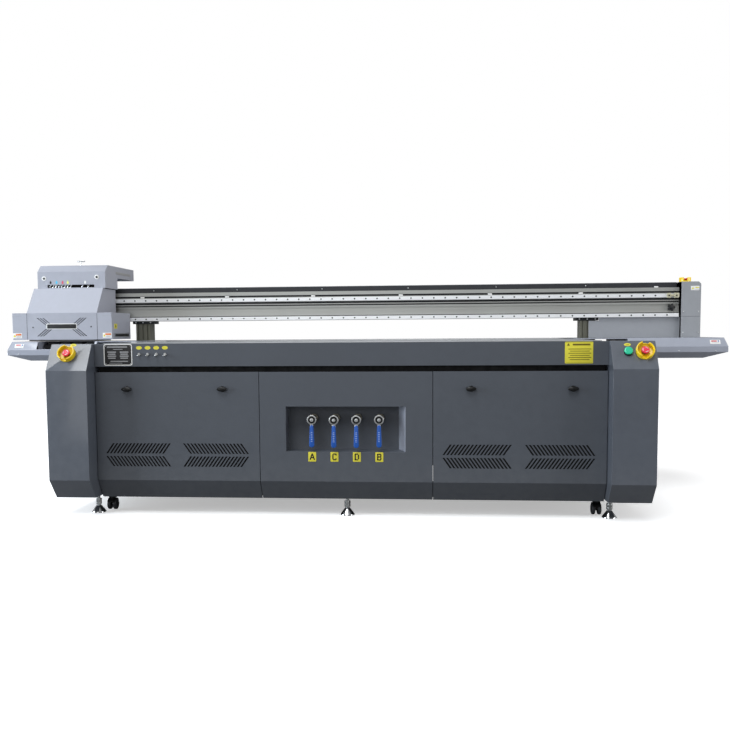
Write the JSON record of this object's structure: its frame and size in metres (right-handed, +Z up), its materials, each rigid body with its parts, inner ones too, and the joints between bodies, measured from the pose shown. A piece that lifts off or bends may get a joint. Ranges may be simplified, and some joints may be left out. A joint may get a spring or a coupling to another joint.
{
  "type": "flatbed UV printer",
  "caption": "Flatbed UV printer: vacuum table on a vented cabinet, travelling gantry with a print carriage, lamp housings, capping station, suction valves and switches.",
  "frame": {"origin": "on the floor, under the middle of the whole machine's box", "axes": "+X to the right of someone at the front, +Y to the back, +Z up; the doors and valves face -Y"},
  "size_m": [4.176, 2.13, 1.416],
  "materials": {
    "frame_steel": "satin dark grey paint",
    "column_paint": "powder coat, blue grey",
    "panel_paint": "powder coat, slate grey",
    "bed_aluminium": "anodised",
    "rail_steel": "ground and polished",
    "machine_steel": "turned",
    "brass": "satin",
    "blue_sleeve": "dipped vinyl",
    "black_plastic": "moulded",
    "yellow_plastic": "moulded",
    "red_plastic": "moulded",
    "green_plastic": "moulded, translucent",
    "chrome_plate": "polished",
    "caster_rubber": "moulded",
    "gantry_aluminium": "anodised extrusion",
    "wing_paint": "powder coat, light grey",
    "cover_paint": "powder coat, light lilac grey",
    "belt_rubber": "toothed belt",
    "motor_black": "black paint",
    "pump_casting": "painted casting",
    "head_black": "black anodised and moulded"
  },
  "bodies": {
    "root": {"frame_posts": "frame_steel", "frame_side_beams": "frame_steel", "frame_crossbeams": "frame_steel", "front_columns": "column_paint", "rear_columns": "column_paint", "cabinet_panels": "panel_paint", "front_apron": "panel_paint", "centre_panel": "panel_paint", "vacuum_bed": "bed_aluminium", "vacuum_system": "bed_aluminium", "y_axis_rails": "rail_steel", "y_screw_mounts": "motor_black", "levelling_feet": "chrome_plate", "ball_valves": "brass", "switch_guards": "yellow_plastic", "rear_caster_forks": "black_plastic"},
    "door_left": {"door_left": "panel_paint"},
    "door_right": {"door_right": "panel_paint"},
    "latch_1": {"latch_1": "black_plastic"},
    "latch_2": {"latch_2": "black_plastic"},
    "latch_3": {"latch_3": "black_plastic"},
    "latch_4": {"latch_4": "black_plastic"},
    "valve_lever_a": {"valve_lever_a": "blue_sleeve"},
    "valve_lever_c": {"valve_lever_c": "blue_sleeve"},
    "valve_lever_d": {"valve_lever_d": "blue_sleeve"},
    "valve_lever_b": {"valve_lever_b": "blue_sleeve"},
    "estop_button_left": {"estop_button_left": "red_plastic"},
    "estop_button_right": {"estop_button_right": "red_plastic"},
    "start_button": {"start_button": "green_plastic"},
    "toggle_1": {"toggle_1": "chrome_plate"},
    "toggle_2": {"toggle_2": "chrome_plate"},
    "toggle_3": {"toggle_3": "chrome_plate"},
    "toggle_4": {"toggle_4": "chrome_plate"},
    "caster_fork_left": {"caster_fork_left": "black_plastic"},
    "caster_fork_right": {"caster_fork_right": "black_plastic"},
    "caster_wheel_front_left": {"caster_wheel_front_left": "caster_rubber"},
    "caster_wheel_front_right": {"caster_wheel_front_right": "caster_rubber"},
    "caster_wheel_rear_left": {"caster_wheel_rear_left": "caster_rubber"},
    "caster_wheel_rear_right": {"caster_wheel_rear_right": "caster_rubber"},
    "y_screw_left": {"y_screw_left": "machine_steel"},
    "y_screw_right": {"y_screw_right": "machine_steel"},
    "drive_pulley": {"drive_pulley": "machine_steel"},
    "idler_pulley": {"idler_pulley": "machine_steel"},
    "gantry_estop_button": {"gantry_estop_button": "red_plastic"},
    "capping_station": {"capping_station": "head_black"},
    "gantry": {"beam": "gantry_aluminium", "gantry_legs": "gantry_aluminium", "x_rails": "rail_steel", "wing_left": "wing_paint", "wing_right": "wing_paint", "end_cover": "cover_paint", "cable_trough": "black_plastic", "drive_belt": "belt_rubber", "x_motor": "motor_black", "gantry_estop_guard": "yellow_plastic"},
    "slider_body": {"slider": "gantry_aluminium"},
    "head": {"print_heads": "head_black", "lamp_housings": "cover_paint", "front_cover": "cover_paint", "upper_cover": "cover_paint"}
  },
  "joints": [
    {"name": "door_left_tilt", "type": "hinge", "parent": "root", "child": "door_left", "pos_m": [-0.446, -0.905, 0.095], "axis": [1, 0, 0], "range_deg": [0, 75]},
    {"name": "door_right_tilt", "type": "hinge", "parent": "root", "child": "door_right", "pos_m": [0.446, -0.905, 0.095], "axis": [1, 0, 0], "range_deg": [0, 75]},
    {"name": "latch_1_turn", "type": "hinge", "parent": "door_left", "child": "latch_1", "pos_m": [-1.143, -0.959, 0.668], "axis": [0, 1, 0], "range_deg": [0, 90]},
    {"name": "latch_2_turn", "type": "hinge", "parent": "door_left", "child": "latch_2", "pos_m": [-0.638, -0.959, 0.668], "axis": [0, 1, 0], "range_deg": [0, 90]},
    {"name": "latch_3_turn", "type": "hinge", "parent": "door_right", "child": "latch_3", "pos_m": [0.638, -0.959, 0.668], "axis": [0, 1, 0], "range_deg": [0, 90]},
    {"name": "latch_4_turn", "type": "hinge", "parent": "door_right", "child": "latch_4", "pos_m": [1.143, -0.959, 0.668], "axis": [0, 1, 0], "range_deg": [0, 90]},
    {"name": "valve_a_turn", "type": "hinge", "parent": "root", "child": "valve_lever_a", "pos_m": [-0.17295, -0.959, 0.51], "axis": [0, 1, 0], "range_deg": [0, 90]},
    {"name": "valve_c_turn", "type": "hinge", "parent": "root", "child": "valve_lever_c", "pos_m": [-0.05765, -0.959, 0.51], "axis": [0, 1, 0], "range_deg": [0, 90]},
    {"name": "valve_d_turn", "type": "hinge", "parent": "root", "child": "valve_lever_d", "pos_m": [0.05765, -0.959, 0.51], "axis": [0, -1, 0], "range_deg": [0, 90]},
    {"name": "valve_b_turn", "type": "hinge", "parent": "root", "child": "valve_lever_b", "pos_m": [0.17295, -0.959, 0.51], "axis": [0, -1, 0], "range_deg": [0, 90]},
    {"name": "estop_left_press", "type": "slide", "parent": "root", "child": "estop_button_left", "axis": [0, 0.8603, -0.5098], "range_m": [0, 0.005], "stiffness_N_per_m": 1500, "springref_m": -0.006},
    {"name": "estop_right_press", "type": "slide", "parent": "root", "child": "estop_button_right", "axis": [0, 0.8603, -0.5098], "range_m": [0, 0.005], "stiffness_N_per_m": 1500, "springref_m": -0.006},
    {"name": "start_press", "type": "slide", "parent": "root", "child": "start_button", "axis": [0, 0.8603, -0.5098], "range_m": [0, 0.003], "stiffness_N_per_m": 1200, "springref_m": -0.004},
    {"name": "toggle_1_flip", "type": "hinge", "parent": "root", "child": "toggle_1", "pos_m": [-1.074, -0.953, 0.849], "axis": [-1, 0, 0], "range_deg": [0, 24]},
    {"name": "toggle_2_flip", "type": "hinge", "parent": "root", "child": "toggle_2", "pos_m": [-1.028, -0.953, 0.849], "axis": [-1, 0, 0], "range_deg": [0, 24]},
    {"name": "toggle_3_flip", "type": "hinge", "parent": "root", "child": "toggle_3", "pos_m": [-0.982, -0.953, 0.849], "axis": [-1, 0, 0], "range_deg": [0, 24]},
    {"name": "toggle_4_flip", "type": "hinge", "parent": "root", "child": "toggle_4", "pos_m": [-0.936, -0.953, 0.849], "axis": [-1, 0, 0], "range_deg": [0, 24]},
    {"name": "caster_left_swivel", "type": "hinge", "parent": "root", "child": "caster_fork_left", "pos_m": [-1.29, -0.806, 0.09], "axis": [0, 0, 1], "continuous": true},
    {"name": "caster_left_roll", "type": "hinge", "parent": "caster_fork_left", "child": "caster_wheel_front_left", "pos_m": [-1.29, -0.824, 0.034], "axis": [1, 0, 0], "continuous": true},
    {"name": "caster_rear_left_roll", "type": "hinge", "parent": "root", "child": "caster_wheel_rear_left", "pos_m": [-1.29, 0.788, 0.034], "axis": [1, 0, 0], "continuous": true},
    {"name": "caster_right_swivel", "type": "hinge", "parent": "root", "child": "caster_fork_right", "pos_m": [1.29, -0.806, 0.09], "axis": [0, 0, 1], "continuous": true},
    {"name": "caster_right_roll", "type": "hinge", "parent": "caster_fork_right", "child": "caster_wheel_front_right", "pos_m": [1.29, -0.824, 0.034], "axis": [1, 0, 0], "continuous": true},
    {"name": "caster_rear_right_roll", "type": "hinge", "parent": "root", "child": "caster_wheel_rear_right", "pos_m": [1.29, 0.788, 0.034], "axis": [1, 0, 0], "continuous": true},
    {"name": "gantry_travel", "type": "slide", "parent": "root", "child": "gantry", "axis": [0, 1, 0], "range_m": [-0.66, 0.62]},
    {"name": "y_screw_left_turn", "type": "hinge", "parent": "root", "child": "y_screw_left", "pos_m": [-1.478, 0, 0.85], "axis": [0, 1, 0], "continuous": true},
    {"name": "y_screw_right_turn", "type": "hinge", "parent": "root", "child": "y_screw_right", "pos_m": [1.478, 0, 0.85], "axis": [0, 1, 0], "continuous": true},
    {"name": "drive_pulley_turn", "type": "hinge", "parent": "gantry", "child": "drive_pulley", "pos_m": [1.99, 0.2295, 1.11], "axis": [0, 0, 1], "continuous": true},
    {"name": "idler_pulley_turn", "type": "hinge", "parent": "gantry", "child": "idler_pulley", "pos_m": [-2.01, 0.2295, 1.11], "axis": [0, 0, 1], "continuous": true},
    {"name": "gantry_estop_press", "type": "slide", "parent": "gantry", "child": "gantry_estop_button", "axis": [0, 0, -1], "range_m": [0, 0.005], "stiffness_N_per_m": 1500, "springref_m": -0.006},
    {"name": "capping_lift", "type": "slide", "parent": "gantry", "child": "capping_station", "axis": [0, 0, 1], "range_m": [0, 0.01]},
    {"name": "carriage_travel", "type": "slide", "parent": "gantry", "child": "slider_body", "axis": [1, 0, 0], "range_m": [0, 3.3]},
    {"name": "head_lift", "type": "slide", "parent": "slider_body", "child": "head", "axis": [0, 0, 1], "range_m": [0, 0.09]}
  ],
  "couplings": [
    {"joint": "y_screw_left_turn", "follows": "gantry_travel", "rad_per_m": 314.16},
    {"joint": "y_screw_right_turn", "follows": "gantry_travel", "rad_per_m": 314.16},
    {"joint": "drive_pulley_turn", "follows": "carriage_travel", "rad_per_m": -55.556},
    {"joint": "idler_pulley_turn", "follows": "carriage_travel", "rad_per_m": -55.556}
  ]
}
